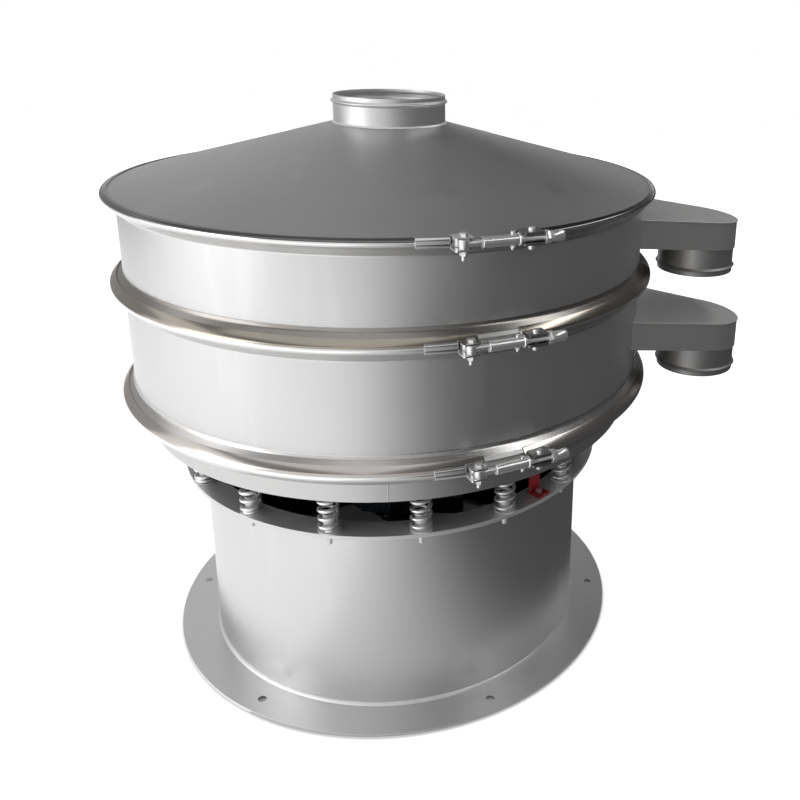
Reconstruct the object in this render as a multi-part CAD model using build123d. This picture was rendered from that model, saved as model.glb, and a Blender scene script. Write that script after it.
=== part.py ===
from build123d import *
import os
from math import acos, asin, atan, ceil, cos, degrees, hypot, pi, radians, sin, sqrt, tan

os.makedirs("parts", exist_ok=True)

# Round vibrating sieve with one screen. Millimetres, +Z up. The origin lies on the floor, on the
# machine's axis, and +X is the direction of the upper discharge spout.

# Sheet and fits
sheet = 3.0                        # wall of the frames, lid, spouts and inlet
seat_clearance = 0.3               # between pieces that are drawn together but don't weld
running_clearance = 0.05           # radial, between a pin or shaft and its moving hole
overrun = 40.0                     # how far a cutting tool runs past what it cuts

# Heights of the stack, from the floor up
base_height = 452.0                # top face of the base ring
spring_height = 107.0              # coil spring as it stands under the load
spring_seat_thickness = 3.0
skirt_height = 76.0                # underside of the vibrating body up to its clamped joint
lower_frame_height = 245.0         # joint to joint
upper_frame_height = 188.0         # joint to joint
lid_rise = 130.0                   # lid joint up to the foot of the feed collar
collar_height = 61.0               # feed collar above the lid

# Base
base_inset = 128.0                 # base shell inside the frame's wall
base_shell_wall = 5.0
base_flange_reach = 87.0           # base flange outside the shell
base_flange_thickness = 9.0
base_lip = 8.0                     # base flange and base ring inside the shell
base_ring_thickness = 9.0
anchor_count = 6
anchor_offset = 49.0               # anchor circle outside the shell
anchor_hole_radius = 9.0
anchor_phase = -4.5                # degrees, first anchor hole from +X

# Springs
spring_count = 16
spring_offset = 22.0               # spring circle outside the shell
spring_phase = 8.4                 # degrees
spring_outer_radius = 23.0
spring_ring_margin = 21.0          # base ring outside the spring circle
spring_wire = 8.5                  # side of the square that stands for the round wire
spring_pitch = 17.0
spring_sides = 6                   # straight stretches in one turn
guide_clearance = 2.0              # between the guide and the coil
guide_height = 34.0
nut_height = 8.0
nut_flats = 17.0

# Clamped joints: turned-out flanges held by a band of V section
frame_radius = 573.0
flange_reach = 19.0                # flange edge outside the frame's wall
flange_rim = 4.2                   # height of a flange's outer edge
band_thickness = 2.5
band_crest_gap = 8.0               # band's crest outside the flange edge
band_overlap = 6.0                 # legs reach in past the flange edge
flange_slope = 45.0                # degrees, back of a frame flange
joint_half_gap = 5.0               # half the space between two frame flanges
lid_half_gap = 2.0                 # half the space between the lid and the upper frame
lid_rim = 3.0
gasket_wall_gap = 1.0              # gasket outside the frame's wall
gasket_inset = 2.0                 # gasket edge inside the flange edge

# Lid and feed collar
collar_radius = 123.0
collar_below = 18.0                # collar below its foot, inside the lid
bead_height = 5.0                  # rolled bead stands out by this much
bead_half_width = 4.0
collar_bead_drop = 14.0            # bead below the collar's rim

# Screen
screen_flange_thickness = 4.0
screen_rise = 60.0                 # mesh above the screen joint
screen_side_gap = 6.5              # screen ring to the frame's wall
screen_wall = 3.5
mesh_thickness = 1.0
spoke_width = 6.0
spoke_height = 24.0
spoke_count = 3                    # bars right across

# Discharge spouts: floor and roof fall outwards, sides draw in to a round outlet
spout_overhang = 152.0             # outlet axis outside the frame's wall
spout_end_radius = 95.0
spout_lip = 2.0                    # roof plate outside the side walls
outlet_step = 3.0                  # outlet drawn in from the side walls
spout_flare = 18.0                 # degrees, each side to the spout's axis
spout_slope = 6.0                  # degrees
spout_height = 67.0                # roof to floor
outlet_drop = 83.0                 # floor at the wall down to the outlet's rim
outlet_bead_rise = 15.0            # bead above the outlet's rim
upper_spout_drop = 59.0            # roof at the wall below the lid joint
lower_spout_drop = 91.0            # roof at the wall below the screen joint
upper_spout_turn = 0.0             # degrees
lower_spout_turn = -6.0            # degrees
dome_rise = 60.0

# Vibrating body
skirt_inset = 23.0                 # skirt inside the frame's wall
skirt_wall = 4.0
skirt_flange_depth = 14.0          # sloped part of the body flange
plate_thickness = 12.0
gusset_count = 8
gusset_thickness = 8.0
gusset_height = 34.0
gusset_gap = 20.0                  # motor flange to gusset

# Vertical vibration motor, bolted into the plate by its middle flange
motor_radius = 132.0
motor_flange_reach = 53.0          # motor flange outside its housing
motor_flange_thickness = 16.0
motor_above = 29.0                 # housing above its flange
motor_below = 277.0                # housing below its flange
motor_hole_clearance = 8.0
fin_count = 12
fin_height = 10.0
fin_width = 6.0
fin_end_gap = 30.0
cover_thickness = 14.0
boss_radius = 58.0
housing_wall = 20.0
stator_end_gap = 34.0              # stator from the housing's lower end
rotor_air_gap = 0.6
rotor_end_gap = 6.0                # rotor core inside the stator's ends
boss_height = 18.0
bearing_radius = 40.0
bearing_width = 22.0
shaft_radius = 22.0
shaft_end = 14.0                   # shaft beyond the weights
weight_gap = 10.0                  # boss to weight
weight_thickness = 46.0
weight_hub_radius = 48.0
weight_radius = 165.0
weight_angle = 130.0               # degrees
weight_turn = 60.0                 # degrees, middle of the upper weight from +X
weight_screw_radius = 6.0
weight_screw_head = 10.0
motor_bolt_count = 8
bolt_circle_share = 0.58           # of the motor flange's reach
motor_bolt_flats = 24.0
motor_bolt_head = 10.0
terminal_width = 96.0
terminal_height = 100.0
terminal_depth = 62.0
terminal_draft = 12.0              # degrees, sides of the terminal box
terminal_turn = -102.0             # degrees
terminal_drop = 145.0              # top of the terminal box below the plate
terminal_lid = 8.0
gland_radius = 12.0
gland_length = 26.0
gland_bore = 6.0

# Clamp closures
closure_turns = {"lid": -70.2, "screen": -68.9, "body": -67.4}   # degrees, middle of each gap
band_gap = 8.0                     # degrees
bolt_axis_offset = 12.0            # bolt axis outside the band's crest
hinge_offset = 63.0                # hinge pin and fork pin, each side of the middle
bolt_radius = 6.0
eye_radius = 9.0
eye_height = 17.4
hinge_pin_radius = 4.0
lug_plate = 3.0
lug_margin = 17.0                  # lug's ends from its pin
fork_extra = 6.0                   # fork lug is longer by this much
lug_out = 8.0                      # lug beyond the bolt axis
lug_in = 26.0                      # lug back to the band
fork_slot_half = 7.0
fork_slot_depth = 8.0
pin_head_radius = 7.0
pin_head_height = 8.0
spacer_gap = 6.0                   # distance tube to the fork
spacer_length = 70.0
spacer_radius = 10.0
nut_seat_gap = 0.5                 # lets the nut swing past the fork
sleeve_nut_length = 38.0
sleeve_nut_radius = 10.0
sleeve_nut_flats = 22.0
sleeve_nut_hex = 12.0
bolt_end_inset = 10.0              # bolt's end inside the nut
sleeve_angle = 5.6                 # degrees of band under the half-round sleeve
sleeve_outer_radius = 11.0
sleeve_inner_radius = 7.4

# Transport lock
lock_turn = -47.0                  # degrees, half way between two springs
lock_width = 32.0
lock_foot = 34.0
lock_rise = 50.0
lock_plate = 6.0
lock_head_height = 6.0
lock_flats = 13.0

# Heights and sizes that follow from the values above
base_shell_radius = frame_radius - base_inset
base_flange_radius = base_shell_radius + base_flange_reach
base_inner_radius = base_shell_radius - base_shell_wall - base_lip
anchor_circle_radius = base_shell_radius + anchor_offset
spring_circle_radius = base_shell_radius + spring_offset
base_ring_radius = spring_circle_radius + spring_ring_margin
spring_mean_radius = spring_outer_radius - spring_wire / 2
spring_inner_flat = (spring_outer_radius - spring_wire) * cos(pi / spring_sides)
guide_radius = spring_inner_flat - guide_clearance
flange_radius = frame_radius + flange_reach
spout_reach = frame_radius + spout_overhang
band_outer_radius = flange_radius + band_crest_gap
band_mouth_radius = flange_radius - band_overlap
gasket_inner_radius = frame_radius + gasket_wall_gap
skirt_radius = frame_radius - skirt_inset
screen_radius = frame_radius - sheet - screen_side_gap
outlet_radius = spout_end_radius - spout_lip - outlet_step
motor_flange_radius = motor_radius + motor_flange_reach
motor_bolt_circle = motor_radius + (motor_flange_radius - motor_radius) * bolt_circle_share
gusset_inner_radius = motor_flange_radius + gusset_gap
stator_radius = motor_radius - housing_wall
lug_near = hinge_offset - lug_margin
hinge_lug_far = hinge_offset + lug_margin
fork_lug_far = hinge_offset + lug_margin + fork_extra
spacer_start = lug_near - spacer_gap - spacer_length
plate_bottom = base_height + 2 * spring_seat_thickness + spring_height
plate_top = plate_bottom + plate_thickness
body_joint = plate_bottom + skirt_height
screen_joint = body_joint + lower_frame_height
lid_joint = screen_joint + upper_frame_height
collar_foot = lid_joint + lid_rise
collar_top = collar_foot + collar_height
gasket_outer_radius = flange_radius - gasket_inset
lid_slope = degrees(atan((lid_rise - lid_half_gap - lid_rim) / (flange_radius - collar_radius)))
upper_roof = lid_joint - upper_spout_drop
lower_roof = screen_joint - lower_spout_drop
dome_rim_height = lower_roof - spout_height + sheet
skirt_inner_radius = skirt_radius - skirt_wall


def steps(count, phase=0.0):
    """Angles of count places evenly round the axis."""
    return [phase + 360 * place / count for place in range(count)]


def disc(radius, low, high, at=(0, 0)):
    """Upright cylinder between two heights."""
    shape = Cylinder(radius, high - low, align=(Align.CENTER, Align.CENTER, Align.MIN))
    return Pos(at[0], at[1], low) * shape


def tube(outer, inner, low, high, at=(0, 0)):
    """Upright ring between two heights."""
    return disc(outer, low, high, at) - disc(inner, low - overrun, high + overrun, at)


def turned(points, arc=360, start=0.0):
    """Solid turned about the machine's axis from an outline of radius and height."""
    outline = make_face(Plane.XZ * Polyline(*points, close=True))
    return Rot(0, 0, start) * revolve(outline, Axis.Z, revolution_arc=arc)


def hexagon(flats, low, high):
    """Upright hexagon bar, measured over its flats."""
    side = extrude(RegularPolygon(flats / 2, 6, major_radius=False), amount=high - low)
    return Pos(0, 0, low) * side


def around(solid, count, radius, phase):
    """Copies of an upright piece at count places on a circle."""
    return [Rot(0, 0, turn) * Pos(radius, 0, 0) * solid for turn in steps(count, phase)]


def save(name, *solids):
    """One sub-part to one file."""
    pieces = []
    for solid in solids:
        pieces += solid.solids()
    shape = pieces[0] if len(pieces) == 1 else Compound(children=pieces)
    shape.label = name
    export_step(shape, "parts/" + name + ".step")


# Base: floor flange, shell and the ring that carries the springs
def base_flange():
    plate = tube(base_flange_radius, base_inner_radius, 0, base_flange_thickness)
    hole = disc(anchor_hole_radius, -overrun, base_flange_thickness + overrun)
    return plate - around(hole, anchor_count, anchor_circle_radius, anchor_phase)


def base_shell():
    top = base_height - base_ring_thickness
    return tube(base_shell_radius, base_shell_radius - base_shell_wall, base_flange_thickness, top)


def base_top_ring():
    low = base_height - base_ring_thickness
    return tube(base_ring_radius, base_inner_radius, low, base_height)


# Springs with their seats. The studs inside the plates aren't modelled, only their nuts.
def lower_seat():
    seat_top = base_height + spring_seat_thickness
    seat = disc(spring_outer_radius, base_height, seat_top)
    return seat + disc(guide_radius, seat_top, seat_top + guide_height)


def upper_seat():
    return disc(spring_outer_radius, plate_bottom - spring_seat_thickness, plate_bottom)


def seat_nut(low):
    return hexagon(nut_flats, low, low + nut_height)


def coil_spring():
    """Square wire laid along a helix of straight stretches, standing at the origin of its circle."""
    low = base_height + spring_seat_thickness
    rise = spring_height - spring_wire
    count = ceil(spring_sides * rise / spring_pitch)
    sections = []
    for place in range(count + 1):
        turn = 360 * rise / spring_pitch * place / count
        height = low + spring_wire / 2 + rise * place / count
        face = Plane.XZ * Rectangle(spring_wire, spring_wire)
        sections.append(Rot(0, 0, turn) * Pos(spring_mean_radius, 0, height) * face)
    return loft(sections, ruled=True)


# Transport lock on the base ring
def lock_place():
    return Rot(0, 0, lock_turn) * Pos(spring_circle_radius, 0, base_height)


def lock_bracket():
    """Folded plate: a foot on the base ring and an upright with its corners cut away."""
    foot = Pos(0, 0, lock_plate / 2) * Box(lock_foot, lock_width, lock_plate)
    cut = lock_width / 4
    outline = Polyline(
        (-lock_width / 2, 0),
        (lock_width / 2, 0),
        (lock_width / 2, lock_rise - cut),
        (lock_width / 2 - cut, lock_rise),
        (-lock_width / 2 + cut, lock_rise),
        (-lock_width / 2, lock_rise - cut),
        close=True,
    )
    upright = extrude(Plane.YZ * make_face(outline), amount=lock_plate)
    return lock_place() * (foot + Pos(-lock_foot / 2, 0, 0) * upright)


def lock_bolt():
    return lock_place() * hexagon(lock_flats, lock_plate, lock_plate + lock_head_height)


def lock_nut():
    low = -base_ring_thickness - lock_head_height
    return lock_place() * hexagon(lock_flats, low, -base_ring_thickness)


# Clamped joints
def flange_back(face, way):
    """Edge and sloped back of a frame flange, from its face to the wall; way is +1 up, -1 down."""
    climb = (flange_radius - frame_radius) * tan(radians(flange_slope))
    return [
        (flange_radius, face),
        (flange_radius, face + way * flange_rim),
        (frame_radius, face + way * (flange_rim + climb)),
    ]


def band_leg(edge, slope):
    """One leg of the V: edge is the flange edge it presses on, as a height from the joint."""
    lean = tan(radians(slope))
    lift = band_thickness / cos(radians(slope))
    mouth = band_mouth_radius
    crest = band_outer_radius - band_thickness
    inner_mouth = edge + seat_clearance + (flange_radius - mouth) * lean
    inner_crest = edge + seat_clearance - (crest - flange_radius) * lean
    outer_crest = edge + seat_clearance - (band_outer_radius - flange_radius) * lean + lift
    return {"mouth": mouth, "crest": crest, "in_mouth": inner_mouth, "in_crest": inner_crest,
            "out_mouth": inner_mouth + lift, "out_crest": outer_crest}


frame_leg = band_leg(joint_half_gap + flange_rim, flange_slope)
lid_leg = band_leg(lid_half_gap + lid_rim, lid_slope)
lid_lower_leg = band_leg(lid_half_gap + flange_rim, flange_slope)
joints = {
    "lid": {"height": lid_joint, "top": lid_leg, "low": lid_lower_leg},
    "screen": {"height": screen_joint, "top": frame_leg, "low": frame_leg},
    "body": {"height": body_joint, "top": frame_leg, "low": frame_leg},
}


def crest_middle(joint):
    """Height of the middle of a band's crest."""
    return joint["height"] + (joint["top"]["out_crest"] - joint["low"]["out_crest"]) / 2


def clamp_band(name):
    """V-section band, open at the closure."""
    joint = joints[name]
    zero, top, low = joint["height"], joint["top"], joint["low"]
    points = [
        (top["mouth"], zero + top["in_mouth"]),
        (top["mouth"], zero + top["out_mouth"]),
        (band_outer_radius, zero + top["out_crest"]),
        (band_outer_radius, zero - low["out_crest"]),
        (low["mouth"], zero - low["out_mouth"]),
        (low["mouth"], zero - low["in_mouth"]),
        (low["crest"], zero - low["in_crest"]),
        (top["crest"], zero + top["in_crest"]),
    ]
    start = closure_turns[name] + band_gap / 2
    return turned(points, 360 - band_gap, start)


def band_envelope(name):
    """Everything inside the band's outer faces, for trimming the lugs that are welded on."""
    joint = joints[name]
    zero, top, low = joint["height"], joint["top"], joint["low"]
    points = [
        (0, zero + top["out_mouth"]),
        (top["mouth"], zero + top["out_mouth"]),
        (band_outer_radius, zero + top["out_crest"]),
        (band_outer_radius, zero - low["out_crest"]),
        (low["mouth"], zero - low["out_mouth"]),
        (0, zero - low["out_mouth"]),
    ]
    return turned(points)


# Closures: local X runs along the bolt, local Y points at the machine, local Z is up
def closure_place(name):
    turn = closure_turns[name]
    radius = band_outer_radius + bolt_axis_offset
    return Rot(0, 0, turn) * Pos(radius, 0, crest_middle(joints[name])) * Rot(0, 0, 90)


def bar(radius, start, end):
    """Round bar along local X."""
    return Pos(start, 0, 0) * Rot(0, 90, 0) * Cylinder(
        radius, end - start, align=(Align.CENTER, Align.CENTER, Align.MIN))


def lug_block(near, far):
    """Rounded lug seen from above, as high as two plates and the eye between them."""
    half = eye_height / 2 + seat_clearance + lug_plate
    outline = Pos((near + far) / 2, (lug_in - lug_out) / 2) * RectangleRounded(
        abs(far - near), lug_in + lug_out, lug_out / 2)
    return Pos(0, 0, -half) * extrude(outline, amount=2 * half)


def hinge_lug(name):
    """Two plates and a web that hold the eye of the swing bolt."""
    block = lug_block(-hinge_lug_far, -lug_near)
    slot_half = eye_height / 2 + seat_clearance
    slot_depth = eye_radius + seat_clearance
    slot = Pos(-hinge_offset, slot_depth - overrun, 0) * Box(2 * overrun, 2 * overrun, 2 * slot_half)
    block -= slot
    block -= disc(hinge_pin_radius, -overrun, overrun, (-hinge_offset, 0))
    return closure_place(name) * block - band_envelope(name)


def fork_lug(name):
    """Block with an open slot that the swing bolt drops into."""
    block = lug_block(lug_near, fork_lug_far)
    slot = Pos(hinge_offset, fork_slot_depth - overrun, 0) * Box(
        2 * overrun, 2 * overrun, 2 * fork_slot_half)
    block -= slot
    block -= disc(hinge_pin_radius, -overrun, overrun, (hinge_offset, 0))
    return closure_place(name) * block - band_envelope(name)


def hinge_pin(name):
    """Headed pin through the lug and the eye."""
    half = eye_height / 2 + seat_clearance + lug_plate
    pin = disc(hinge_pin_radius, -half, half)
    pin += hexagon(2 * pin_head_radius, half, half + pin_head_height)
    return closure_place(name) * Pos(-hinge_offset, 0, 0) * pin


def hinge_pin_nut(name):
    half = eye_height / 2 + seat_clearance + lug_plate
    nut = hexagon(2 * pin_head_radius, -half - pin_head_height, -half)
    return closure_place(name) * Pos(-hinge_offset, 0, 0) * nut


def fork_stubs(name):
    """Headed stubs in the fork's upper and lower cheek, on one upright line."""
    half = eye_height / 2 + seat_clearance + lug_plate
    stub = disc(hinge_pin_radius, fork_slot_half, half)
    stub += hexagon(2 * pin_head_radius, half, half + pin_head_height)
    place = closure_place(name) * Pos(hinge_offset, 0, 0)
    return [place * stub, place * Rot(180, 0, 0) * stub]


def half_sleeve(name):
    """Half-round cover on the crest, next to the hinge lug."""
    joint = joints[name]
    middle = crest_middle(joint)
    centre = band_outer_radius - (band_thickness - seat_clearance)
    ring = Circle(sleeve_outer_radius) - Circle(sleeve_inner_radius)
    keep = Pos(sleeve_outer_radius, 0) * Rectangle(2 * sleeve_outer_radius, 2 * sleeve_outer_radius)
    profile = Plane.XZ * Pos(centre, middle) * (ring & keep)
    lug_angle = degrees(asin(hinge_lug_far / (band_outer_radius - sleeve_outer_radius)))
    start = closure_turns[name] - lug_angle - sleeve_angle
    return Rot(0, 0, start) * revolve(profile, Axis.Z, revolution_arc=sleeve_angle)


def swing_bolt(name):
    """Eye bolt that swings out of the fork; its thread isn't cut."""
    eye = disc(eye_radius, -eye_height / 2, eye_height / 2, (-hinge_offset, 0))
    end = fork_lug_far + nut_seat_gap + sleeve_nut_length - bolt_end_inset
    bolt = eye + bar(bolt_radius, -hinge_offset, end)
    hole = disc(hinge_pin_radius + running_clearance, -overrun, overrun, (-hinge_offset, 0))
    return closure_place(name) * (bolt - hole)


def spacer(name):
    """Distance tube on the bolt, in front of the fork."""
    end = spacer_start + spacer_length
    shape = bar(spacer_radius, spacer_start, end)
    return closure_place(name) * (shape - bar(bolt_radius, spacer_start - overrun, end + overrun))


def sleeve_nut(name):
    """Long nut that draws the fork towards the hinge."""
    start = fork_lug_far + nut_seat_gap
    head = Pos(start, 0, 0) * Rot(0, 90, 0) * hexagon(sleeve_nut_flats, 0, sleeve_nut_hex)
    shape = head + bar(sleeve_nut_radius, start + sleeve_nut_hex, start + sleeve_nut_length)
    hole = bar(bolt_radius + running_clearance, start - overrun, start + sleeve_nut_length + overrun)
    return closure_place(name) * (shape - hole)


# Discharge spouts
def spout_plan(inset):
    """Plan of a spout, drawn in all round: round at the outlet, sides tangent to it."""
    flare = radians(spout_flare)
    radius = spout_end_radius - inset
    touch = (spout_reach + radius * sin(flare), radius * cos(flare))
    start = frame_radius - 2 * overrun
    spread = touch[1] + (touch[0] - start) * tan(flare)
    arc = ThreePointArc(touch, (spout_reach + radius, 0), (touch[0], -touch[1]))
    sides = Polyline((touch[0], -touch[1]), (start, -spread), (start, spread), touch)
    return make_face(Curve() + [arc, sides])


def spout_box(roof, inset, under=0.0, over=0.0):
    """Block between the sloped roof and floor, or from under the one to over the other."""
    fall = tan(radians(spout_slope))
    start = frame_radius - 2 * overrun
    end = spout_reach + spout_end_radius + overrun

    def line(x, level):
        return (x, level - (x - frame_radius) * fall)

    top, low = roof - under, roof - spout_height + over
    outline = make_face(Plane.XZ * Polyline(
        line(start, top), line(end, top), line(end, low), line(start, low), close=True))
    slab = extrude(outline, amount=frame_radius, both=True)
    reach = spout_height + outlet_drop + overrun
    block = Pos(0, 0, roof - 2 * reach) * extrude(spout_plan(inset), amount=3 * reach)
    return slab & block


def spout_way(roof):
    """Space between a spout's walls, roof and floor."""
    return spout_box(roof, spout_lip + sheet, sheet, sheet)


def spout_hollow(roof):
    neck_top = roof - spout_height
    outlet = roof - spout_height - outlet_drop
    way = spout_box(roof, spout_lip + sheet, 0, sheet)
    return way + disc(outlet_radius - sheet, outlet - overrun, neck_top, (spout_reach, 0))


def spout(roof, turn):
    """Floor, side walls and outlet of a spout, open at the top."""
    outlet = roof - spout_height - outlet_drop
    bead = outlet + outlet_bead_rise
    neck = turned([
        (0, outlet),
        (outlet_radius, outlet),
        (outlet_radius, bead - bead_half_width),
        (outlet_radius + bead_height, bead),
        (outlet_radius, bead + bead_half_width),
        (outlet_radius, roof - spout_height),
        (0, roof - spout_height),
    ])
    shape = spout_box(roof, spout_lip, sheet) + Pos(spout_reach, 0, 0) * neck - spout_hollow(roof)
    shape -= disc(frame_radius, outlet - overrun, roof + overrun)
    return Rot(0, 0, turn) * shape


def spout_roof(roof, turn):
    """Plate on a spout's walls, with a lip outside them."""
    plate = spout_box(roof, 0, 0, spout_height - sheet)
    plate -= disc(frame_radius, roof - spout_height, roof + overrun)
    return Rot(0, 0, turn) * plate


# Frames
def frame(low, high, high_gap):
    """Cylindrical wall with a turned-out flange at each end."""
    inner = frame_radius - sheet
    bottom, top = low + joint_half_gap, high - high_gap
    outline = [(inner, bottom)] + flange_back(bottom, 1)
    outline += list(reversed(flange_back(top, -1))) + [(inner, top)]
    return turned(outline)


def upper_frame():
    window = Rot(0, 0, upper_spout_turn) * spout_way(upper_roof)
    return frame(screen_joint, lid_joint, lid_half_gap) - window


def lower_frame():
    window = Rot(0, 0, lower_spout_turn) * spout_way(lower_roof)
    return frame(body_joint, screen_joint, joint_half_gap) - window


def discharge_dome():
    """Shallow cone that sheds the fine product to the wall."""
    rim = frame_radius - sheet
    thick = sheet / cos(atan(dome_rise / rim))
    shape = turned([
        (rim, dome_rim_height - thick),
        (rim, dome_rim_height),
        (0, dome_rim_height + dome_rise),
        (0, dome_rim_height + dome_rise - thick),
    ])
    return shape


# Screen
def screen_frame():
    low = screen_joint - joint_half_gap
    flange_top = low + screen_flange_thickness
    inner = screen_radius - screen_wall
    top = screen_joint + screen_rise
    return turned([
        (inner, low),
        (gasket_outer_radius, low),
        (gasket_outer_radius, flange_top),
        (screen_radius, flange_top),
        (screen_radius, top),
        (inner, top),
    ])


def screen_spokes():
    top = screen_joint + screen_rise
    length = 2 * (screen_radius - screen_wall)
    bar_shape = Pos(0, 0, top - spoke_height / 2) * Box(length, spoke_width, spoke_height)
    bars = [Rot(0, 0, turn / 2) * bar_shape for turn in steps(spoke_count)]
    shape = bars[0] + bars[1:]
    return shape & disc(screen_radius - screen_wall, top - 2 * spoke_height, top)


def screen_mesh():
    top = screen_joint + screen_rise
    return disc(screen_radius, top, top + mesh_thickness)


# Lid and feed collar
def lid_cone():
    low = lid_joint + lid_half_gap
    edge = low + lid_rim
    lean = tan(radians(lid_slope))
    thick = sheet / cos(radians(lid_slope))
    foot = edge + (flange_radius - collar_radius) * lean
    inside = edge + (flange_radius - gasket_inner_radius) * lean - thick
    return turned([
        (flange_radius, low),
        (flange_radius, edge),
        (collar_radius, foot),
        (collar_radius, foot - thick),
        (gasket_inner_radius, inside),
        (gasket_inner_radius, low),
    ])


def feed_inlet():
    bead = collar_top - collar_bead_drop
    low = collar_foot - collar_below
    return turned([
        (collar_radius - sheet, low),
        (collar_radius, low),
        (collar_radius, bead - bead_half_width),
        (collar_radius + bead_height, bead),
        (collar_radius, bead + bead_half_width),
        (collar_radius, collar_top),
        (collar_radius - sheet, collar_top),
    ])


# Vibrating body
def body_skirt():
    face = body_joint - joint_half_gap
    edge = face - flange_rim
    under = edge - skirt_flange_depth
    neck = flange_radius - skirt_flange_depth / tan(radians(flange_slope))
    return turned([
        (skirt_inner_radius, face),
        (flange_radius, face),
        (flange_radius, edge),
        (neck, under),
        (skirt_radius, under),
        (skirt_radius, plate_bottom),
        (skirt_inner_radius, plate_bottom),
    ])


def body_plate():
    hole = motor_radius + motor_hole_clearance
    return tube(skirt_inner_radius, hole, plate_bottom, plate_top)


def gusset():
    outline = make_face(Plane.XZ * Polyline(
        (gusset_inner_radius, plate_top),
        (skirt_inner_radius - seat_clearance, plate_top),
        (skirt_inner_radius - seat_clearance, plate_top + gusset_height),
        close=True))
    return extrude(outline, amount=gusset_thickness / 2, both=True)


def body_gussets():
    phase = spring_phase + 180 / spring_count
    return [Rot(0, 0, turn) * gusset() for turn in steps(gusset_count, phase)]


# Motor
housing_low = plate_top - motor_below
housing_high = plate_top + motor_flange_thickness + motor_above


def motor_housing():
    top_of_flange = plate_top + motor_flange_thickness
    body = turned([
        (stator_radius, housing_low),
        (motor_radius, housing_low),
        (motor_radius, plate_top),
        (motor_flange_radius, plate_top),
        (motor_flange_radius, top_of_flange),
        (motor_radius, top_of_flange),
        (motor_radius, housing_high),
        (stator_radius, housing_high),
    ])
    height = motor_below - 2 * fin_end_gap
    middle = housing_low + motor_below / 2
    fin = Pos(0, 0, middle) * Box(2 * fin_height, fin_width, height)
    fins = around(fin, fin_count, motor_radius, terminal_turn + 180 / fin_count)
    return body + fins - terminal_room()


def terminal_room():
    """Flat seat for the terminal box."""
    seat = Pos(motor_radius + terminal_depth, 0, terminal_middle()) * Box(
        2 * terminal_depth, terminal_width + 2 * seat_clearance, terminal_height + 2 * seat_clearance)
    return Rot(0, 0, terminal_turn) * seat


def terminal_middle():
    return plate_bottom - terminal_drop - terminal_height / 2


def drawn_in(width):
    """Outline that narrows from the housing to the terminal lid."""
    shrink = 2 * terminal_depth * tan(radians(terminal_draft))
    return make_face(Polyline(
        (motor_radius, -width / 2),
        (motor_radius + terminal_depth, (shrink - width) / 2),
        (motor_radius + terminal_depth, (width - shrink) / 2),
        (motor_radius, width / 2),
        close=True,
    ))


def terminal_box():
    plan = extrude(drawn_in(terminal_width), amount=terminal_height, both=True)
    side = extrude(Plane.XZ * drawn_in(terminal_height), amount=terminal_width, both=True)
    return Rot(0, 0, terminal_turn) * Pos(0, 0, terminal_middle()) * (plan & side)


def terminal_lid_plate():
    shrink = 2 * terminal_depth * tan(radians(terminal_draft))
    start = motor_radius + terminal_depth
    lid = Pos(start + terminal_lid / 2, 0, terminal_middle()) * Box(
        terminal_lid, terminal_width - shrink, terminal_height - shrink)
    return Rot(0, 0, terminal_turn) * lid


def cable_gland():
    draft = tan(radians(terminal_draft))
    reach = terminal_depth / 2
    top = terminal_middle() - terminal_height / 2 + reach * draft + gland_length / 4
    shape = tube(gland_radius, gland_bore, top - gland_length, top)
    place = Rot(0, 0, terminal_turn) * Pos(motor_radius + reach, 0, 0)
    return place * shape - terminal_box()


def end_cover(low, way):
    """Disc on the housing's end with a boss that holds the bearing; way points outwards."""
    ends = sorted([low, low + way * cover_thickness])
    boss_end = low + way * (cover_thickness + boss_height)
    boss = sorted([low, boss_end])
    shape = disc(motor_radius, ends[0], ends[1]) + disc(boss_radius, boss[0], boss[1])
    inside = sorted([low, low + way * bearing_width])
    shape -= disc(bearing_radius, inside[0], inside[1])
    return shape - disc(shaft_radius + seat_clearance, boss[0] - overrun, boss[1] + overrun)


def bearing(low, way):
    ends = sorted([low, low + way * bearing_width])
    return tube(bearing_radius, shaft_radius + running_clearance, ends[0], ends[1])


lower_weight_top = housing_low - cover_thickness - boss_height - weight_gap
upper_weight_low = housing_high + cover_thickness + boss_height + weight_gap
shaft_low = lower_weight_top - weight_thickness - shaft_end
shaft_high = upper_weight_low + weight_thickness + shaft_end


def motor_stator():
    """Wound core, as one ring pressed into the housing."""
    low = housing_low + stator_end_gap
    return tube(stator_radius, boss_radius, low, plate_bottom)


def rotor_core():
    low = housing_low + stator_end_gap + rotor_end_gap
    return tube(boss_radius - rotor_air_gap, shaft_radius, low, plate_bottom - rotor_end_gap)


def motor_shaft():
    return disc(shaft_radius, shaft_low, shaft_high)


def eccentric_weight(low, turn, bore):
    """Sector block on a clamped hub."""
    half = weight_angle / 2
    sector = turned([
        (0, low), (weight_radius, low), (weight_radius, low + weight_thickness), (0, low + weight_thickness)
    ], weight_angle, -half)
    shape = sector + disc(weight_hub_radius, low, low + weight_thickness)
    shape -= disc(bore, low - overrun, low + weight_thickness + overrun)
    return Rot(0, 0, turn) * shape


def weight_screw(low, turn):
    """Clamp screw across the hub, on the side away from the sector."""
    middle = low + weight_thickness / 2
    start = weight_hub_radius + seat_clearance
    screw = Rot(0, 0, 180) * Pos(start, 0, middle) * Rot(0, 90, 0) * hexagon(
        2 * weight_screw_radius, 0, weight_screw_head)
    return Rot(0, 0, turn) * screw


def motor_bolt():
    top = plate_top + motor_flange_thickness
    return hexagon(motor_bolt_flats, top, top + motor_bolt_head)


def motor_nut():
    return hexagon(motor_bolt_flats, plate_bottom - motor_bolt_head, plate_bottom)


def gasket(joint, low, high):
    return tube(gasket_outer_radius, gasket_inner_radius, joint + low, joint + high)


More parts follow.
